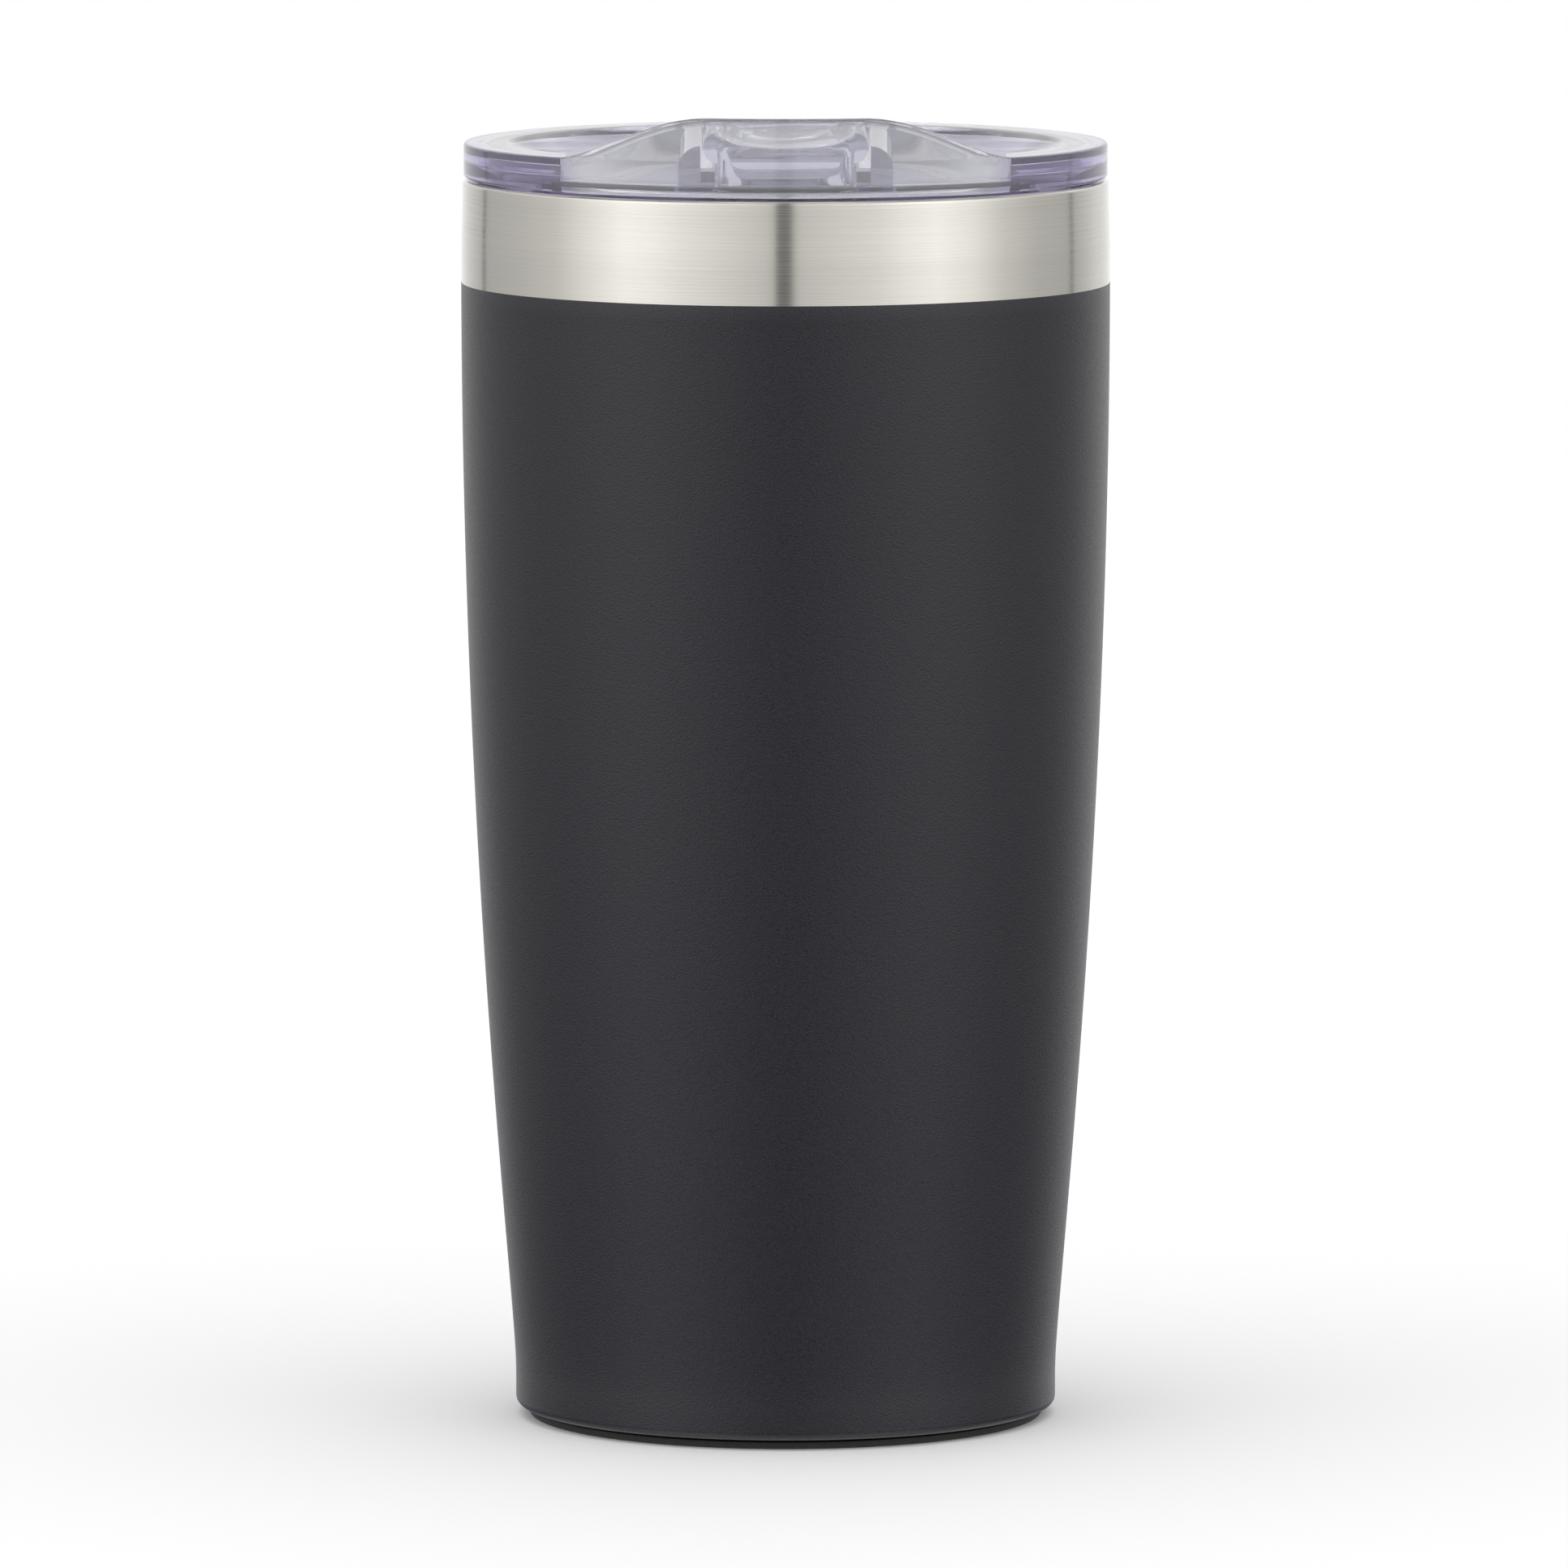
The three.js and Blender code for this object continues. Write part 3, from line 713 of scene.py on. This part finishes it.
def spout_space():
    """The open space of the spout between its straight sides, down to its floor and shelf."""
    profile = rounded(
        [
            (0, LID_FLOOR_Z, 0),
            (SHELF_FOOT, LID_FLOOR_Z, 0.5),
            (SHELF_INNER, SPOUT_Z, 0.5),
            (WALL_INNER, SPOUT_Z, 0.5),
            (WALL_INNER, RIM_Z, 0),
            (0, RIM_Z, 0),
        ]
    )
    return ahead("spout_space", profile, SPOUT_HALF)


TRACK_HALF = 11.2
TRACK_FRONT = -37.4
CHEEK_HALF = 14.1
CHEEK_BACK = -14
CHEEK_TOP = 175.8
RAIL_HALF = 9.3
RAIL_TOP = 173
RAIL_BACK_Z = 171.5
RAIL_BACK = 19
OPENING_HALF = 7
OPENING_FRONT = -35
OPENING_BACK = -29.5
SLOT_HALF = 2.1
SLOT_FRONT = -8.4
SLOT_BACK = 14.4
VENT_Y = 24.5
VENT_HALF = 1.2


def track_room():
    """The space above the lid's underside and inside the drinking lip, which the track may fill."""
    step_z = SPOUT_Z - 0.5
    return turned(
        "track_room",
        [
            (0, UNDERSIDE_Z),
            (SKIRT_INNER + 1, UNDERSIDE_Z),
            (SKIRT_INNER + 1, step_z),
            (SKIRT_INNER + 3, step_z),
            (SKIRT_INNER + 3, CHEEK_TOP + 1),
            (0, CHEEK_TOP + 1),
        ],
        240,
    )


def cheek(side):
    """A post beside the slider, on the right (1) or the left (-1), with a rounded top."""
    corner = CHEEK_HALF - TRACK_HALF
    outline = [(TRACK_HALF, UNDERSIDE_Z), (CHEEK_HALF, UNDERSIDE_Z)]
    outline += arc(TRACK_HALF, CHEEK_TOP - corner, corner, 0, 90, 16)
    made = prism("cheek", [(side * x, z) for x, z in outline], TRACK_FRONT, CHEEK_BACK, "Y")
    return combine(made, [track_room()], "INTERSECT")


def rail():
    """The low wall round the slider's track, open at the front."""
    outer = TRACK_HALF + 0.1
    wall = outer - RAIL_HALF
    front = TRACK_FRONT - 12
    loop = prism(
        "rail",
        rounded_rectangle(-outer, front, outer, RAIL_BACK + wall, outer - 1, steps=24),
        UNDERSIDE_Z,
        RAIL_BACK_Z,
    )
    bore = prism(
        "rail_bore",
        rounded_rectangle(-RAIL_HALF, front + 1, RAIL_HALF, RAIL_BACK, RAIL_HALF - 1, steps=24),
        LID_FLOOR_Z,
        RAIL_TOP + 1,
    )
    between = block("between", (-outer, TRACK_FRONT, UNDERSIDE_Z), (outer, CHEEK_BACK, RAIL_TOP))
    front_end = block("front_end", (-outer, front, UNDERSIDE_Z - 1), (outer, TRACK_FRONT, RAIL_TOP))
    combine(loop, [between], "UNION")
    combine(loop, [bore, front_end], "DIFFERENCE")
    return combine(loop, [track_room()], "INTERSECT")


def lid_cover():
    """The lid: bowl, spout, track and openings."""
    cover = swept("lid_cover_visual", bowl_profile, LID_SEGMENTS)
    combine(cover, [spout_floor()], "UNION")
    combine(cover, [spout_space(), spout_groove()], "DIFFERENCE")
    track = block(
        "track", (-TRACK_HALF, TRACK_FRONT, LID_FLOOR_Z), (TRACK_HALF, CHEEK_BACK, RIM_Z + 1)
    )
    combine(cover, [track], "DIFFERENCE")
    combine(cover, [cheek(1), cheek(-1), rail()], "UNION")
    low, high = UNDERSIDE_Z - 1, LID_FLOOR_Z + 1
    drinking_hole = prism(
        "drinking_hole",
        rounded_rectangle(-OPENING_HALF, OPENING_FRONT, OPENING_HALF, OPENING_BACK, 2),
        low,
        high,
    )
    stem_slot = prism(
        "stem_slot", rounded_rectangle(-SLOT_HALF, SLOT_FRONT, SLOT_HALF, SLOT_BACK, 1), low, high
    )
    vent_outline = rounded_rectangle(
        -VENT_HALF, VENT_Y - VENT_HALF, VENT_HALF, VENT_Y + VENT_HALF, VENT_HALF - 0.01
    )
    vent = prism("vent", vent_outline, low, high)
    return combine(cover, [drinking_hole, stem_slot, vent], "DIFFERENCE")


def gasket():
    """The seal in the skirt's groove: a ring with two fins that reach towards the liner."""
    inner = SKIRT_OUTER - GROOVE_DEPTH + GAP
    low = GROOVE_LOW_Z + GAP
    high = GROOVE_HIGH_Z - GAP
    tip = LINER_MOUTH - GAP
    root = SKIRT_OUTER + GAP
    middle = (low + high) / 2
    return turned(
        "gasket_ring",
        rounded(
            [
                (inner, low, 0.1),
                (root, low, 0.1),
                (tip, low + 0.5, 0.1),
                (tip, low + 0.8, 0.1),
                (root, middle - 0.2, 0.1),
                (root, middle + 0.1, 0.1),
                (tip, high - 0.5, 0.1),
                (tip, high - 0.2, 0.1),
                (root, high, 0.1),
                (inner, high, 0.1),
            ],
            steps=3,
        ),
        192,
    )


# ------------------------------------------------------------------ slider

SLIDER_FRONT = SLIDER_LOW.y
HEAD_HALF = SLIDER_HIGH.x
HEAD_BACK = -17
HEAD_LOW_Z = 173.6
HEAD_TOP_Z = SLIDER_HIGH.z
SLIDER_HALF = 9
SLIDER_LOW_Z = LID_FLOOR_Z + GAP
TAIL_HALF = 6.5
TAIL_BACK = SLIDER_HIGH.y
TAIL_TOP_Z = 172
STEM_HALF = 1.7
STEM_FRONT = -8
STEM_BACK = -2
STEM_LOW_Z = SLIDER_LOW.z
BARB = 0.9  # how far the stem's snap reaches past it on each side
RETAINER_LOW_Z = 165.3
SEAL_LOW, SEAL_HIGH = node_box("slider_seal")


def ellipsoid(name, centre, radii, around=96, up=48):
    """An egg-like solid with its own radius along each axis."""
    vertices, faces = [], []
    for j in range(up + 1):
        tilt = math.pi * j / up - math.pi / 2
        for i in range(around):
            turn = math.tau * i / around
            vertices.append(
                (
                    centre[0] + radii[0] * math.cos(tilt) * math.cos(turn),
                    centre[1] + radii[1] * math.cos(tilt) * math.sin(turn),
                    centre[2] + radii[2] * math.sin(tilt),
                )
            )
    for j in range(up):
        for i in range(around):
            k = (i + 1) % around
            faces.append(
                (j * around + i, j * around + k, (j + 1) * around + k, (j + 1) * around + i)
            )
    return mesh_object(name, vertices, faces)


def slider():
    """The closure: head with a thumb scoop and a ribbed front, tail, and stem with its barb."""
    body = prism(
        "slider_visual",
        rounded_rectangle(-SLIDER_HALF, SLIDER_FRONT, SLIDER_HALF, HEAD_BACK, 1),
        SLIDER_LOW_Z,
        HEAD_LOW_Z + 2.5,
    )
    head = prism(
        "head",
        rounded_rectangle(-HEAD_HALF, HEAD_LOW_Z, HEAD_HALF, HEAD_TOP_Z, 1.8),
        SLIDER_FRONT + 0.4,
        HEAD_BACK,
        "Y",
    )
    tail = prism(
        "tail",
        rounded_rectangle(-TAIL_HALF, HEAD_BACK - 1, TAIL_HALF, TAIL_BACK, 3),
        SLIDER_LOW_Z,
        TAIL_TOP_Z,
    )
    stem = block("stem", (-STEM_HALF, STEM_FRONT, STEM_LOW_Z), (STEM_HALF, STEM_BACK, 171))
    barb = block(
        "barb",
        (-STEM_HALF - BARB, STEM_FRONT, STEM_LOW_Z),
        (STEM_HALF + BARB, STEM_BACK, RETAINER_LOW_Z - GAP),
    )
    combine(body, [head, tail, stem, barb], "UNION")
    scoop = ellipsoid("scoop", (0, SLIDER_FRONT - 1, HEAD_TOP_Z + 0.6), (9.4, 17.4, 2.9))
    depth = 0.7
    panel = prism(
        "panel",
        rounded_rectangle(-8.6, SLIDER_LOW_Z + 0.6, 8.6, 175.45, 1),
        SLIDER_FRONT - 1,
        SLIDER_FRONT + depth,
        "Y",
    )
    rib = prism(
        "rib",
        rounded_rectangle(-7.2, 173.65, 7.2, 174.2, 0.2),
        SLIDER_FRONT,
        SLIDER_FRONT + depth + 0.1,
        "Y",
    )
    combine(panel, [rib], "DIFFERENCE")
    field_half, spring_z, steps = 7.5, 171.7, 16
    crown = [
        (field_half - 2 * field_half * i / steps, spring_z + math.sin(math.pi * i / steps))
        for i in range(steps + 1)
    ]
    field = prism(
        "field",
        [(-field_half, SLIDER_LOW_Z + 1.2), (field_half, SLIDER_LOW_Z + 1.2)] + crown,
        SLIDER_FRONT,
        SLIDER_FRONT + depth + 0.5,
        "Y",
    )
    seal_pocket = block(
        "seal_pocket",
        (-SEAL_HIGH.x - GAP, SEAL_LOW.y - GAP, SLIDER_LOW_Z - 1),
        (SEAL_HIGH.x + GAP, SEAL_HIGH.y + GAP, SEAL_HIGH.z + GAP),
    )
    return combine(body, [scoop, panel, field, seal_pocket], "DIFFERENCE")


def slider_seal():
    """The soft plate under the slider that covers the drinking opening."""
    return prism(
        "seal_plate",
        rounded_rectangle(SEAL_LOW.x, SEAL_LOW.y, SEAL_HIGH.x, SEAL_HIGH.y, 1),
        SEAL_LOW.z,
        SEAL_HIGH.z,
    )


def slider_retainer():
    """The plate under the lid's floor, with the hole that the stem snaps through."""
    low, high = node_box("slider_retainer")
    plate = prism(
        "retainer_plate", rounded_rectangle(low.x, low.y, high.x, high.y, 1.5), low.z, high.z
    )
    hole = block(
        "hole",
        (-STEM_HALF - GAP, STEM_FRONT - GAP, low.z - 1),
        (STEM_HALF + GAP, STEM_BACK + GAP, high.z + 1),
    )
    return combine(plate, [hole], "DIFFERENCE")


# ------------------------------------------------------------------ assembly

finish_piece(coat(), COAT_FINISH, "cup", "powder_coat", "outer_shell")
finish_piece(steel_band(), STEEL, "cup", "liner_steel", "outer_shell")
finish_piece(liner(), LINER_STEEL, "cup", "liner_steel", "inner_liner")
finish_piece(pad(), RUBBER, "cup", "foot_rubber", "base_pad")

cover = lid_cover()
finish_piece(cover, LID_CLEAR, "lid", "clear_plastic", "lid_cover")
finish_piece(gasket(), SILICONE, "lid", "clear_silicone", "lid_gasket")

knob = slider()
soften(knob, 0.25)
finish_piece(knob, CLEAR, "closure", "clear_plastic", "slider")
seal = slider_seal()
soften(seal, 0.2)
finish_piece(seal, SILICONE, "closure", "clear_silicone", "slider_seal")
retainer = slider_retainer()
soften(retainer, 0.2)
finish_piece(retainer, CLEAR, "closure", "clear_plastic", "slider_retainer")

recoat("vacuum_base", LINER_STEEL)
recoat("getter_clip", LINER_STEEL)
recoat("glass_seal", SOLDER)
recoat("getter", GETTER)
recoat("heat_foil", COPPER)
recoat("pad_adhesive", ADHESIVE)


# ------------------------------------------------------------------ studio

def floor():
    """A round pale floor that the object's gloss doesn't show, as it would hide the soft boxes."""
    half, sides = 1500, 96
    turns = [math.tau * i / sides for i in range(sides)]
    rim = [(half * math.cos(turn), half * math.sin(turn), 0) for turn in turns]
    made = mesh_object("floor", rim, [tuple(range(sides))])
    material, tree, shader = new_material("floor")
    speckle = noise(tree, (3, 3, 3))
    colour = ramp(tree, speckle, [(0.3, (0.90, 0.90, 0.90)), (0.7, (0.92, 0.92, 0.92))])
    tree.links.new(colour, shader.inputs["Base Color"])
    shader.inputs["Roughness"].default_value = 0.9
    shader.inputs["Specular IOR Level"].default_value = 0.1
    made.data.materials.append(material)
    made.visible_glossy = False


# Brightness of the studio by the angle from the front, in degrees, level with the object.
# Soft boxes stand at both front corners, with a dark gap between them where the camera is.
STUDIO = [
    (-180, 1.00),
    (-160, 0.90),
    (-141, 0.70),
    (-138, 0.64),
    (-136, 0.20),
    (-134, 0.64),
    (-108, 0.78),
    (-90, 0.94),
    (-75, 1.33),
    (-60, 1.68),
    (-49, 1.60),
    (-37, 1.37),
    (-25, 1.20),
    (-8, 0.96),
    (-4.1, 0.90),
    (-3.0, 0.26),
    (1.9, 0.26),
    (3.3, 0.92),
    (20, 1.10),
    (32, 1.22),
    (44, 1.48),
    (56, 1.64),
    (70, 1.42),
    (84, 1.00),
    (101, 0.75),
    (121, 0.66),
    (123, 0.22),
    (125, 0.66),
    (145, 0.92),
    (180, 1.00),
]
# How the studio's brightness and colour change with height, by the sine of the angle above
# level: bright table, dark gap under the soft boxes, soft boxes, dark ceiling, overhead lamp.
NEUTRAL = (1, 1, 1)
LAVENDER = (1.0, 0.96, 1.12)
HEIGHTS = [
    (-1.0, 0.90, NEUTRAL),
    (-0.6, 0.85, NEUTRAL),
    (-0.38, 0.22, LAVENDER),
    (-0.28, 0.30, LAVENDER),
    (-0.10, 1.00, NEUTRAL),
    (0.30, 1.00, NEUTRAL),
    (0.42, 1.50, NEUTRAL),
    (0.56, 1.40, NEUTRAL),
    (0.70, 0.42, LAVENDER),
    (0.93, 0.45, LAVENDER),
    (0.98, 1.40, NEUTRAL),
    (1.0, 1.40, NEUTRAL),
]
FILL = 1.12  # even light that reaches dull surfaces, such as the floor


def studio():
    """Soft light from all round; plain white when looked at directly."""
    world = bpy.data.worlds.new("studio")
    bpy.context.scene.world = world
    world.use_nodes = True
    tree = world.node_tree
    background = tree.nodes["Background"]
    where = add(tree, "ShaderNodeTexCoord")
    parts = add(tree, "ShaderNodeSeparateXYZ")
    tree.links.new(where.outputs["Generated"], parts.inputs[0])
    across, along, up = parts.outputs
    from_front = maths(tree, "ARCTAN2", across, maths(tree, "MULTIPLY", along, -1))
    share = maths(tree, "MULTIPLY_ADD", from_front, 0.5 / math.pi, 0.5)
    stops = [(0.5 + degrees / 360, (level / 2,) * 3) for degrees, level in STUDIO]
    around = ramp(tree, share, stops)
    above = ramp(
        tree,
        maths(tree, "MULTIPLY_ADD", up, 0.5, 0.5),
        [(0.5 + sine / 2, tuple(level * c / 2 for c in tint)) for sine, level, tint in HEIGHTS],
    )
    path = add(tree, "ShaderNodeLightPath")
    direct, diffuse = path.outputs["Is Camera Ray"], path.outputs["Is Diffuse Ray"]
    undo_halving = 4.0  # both ramps hold half of each value
    strength = replace_where(tree, diffuse, maths(tree, "MULTIPLY", around, undo_halving), FILL)
    strength = replace_where(tree, direct, strength, 1)
    tree.links.new(strength, background.inputs["Strength"])
    plain = maths(tree, "MAXIMUM", direct, diffuse)
    tree.links.new(blend(tree, plain, above, NEUTRAL), background.inputs["Color"])


floor()
studio()
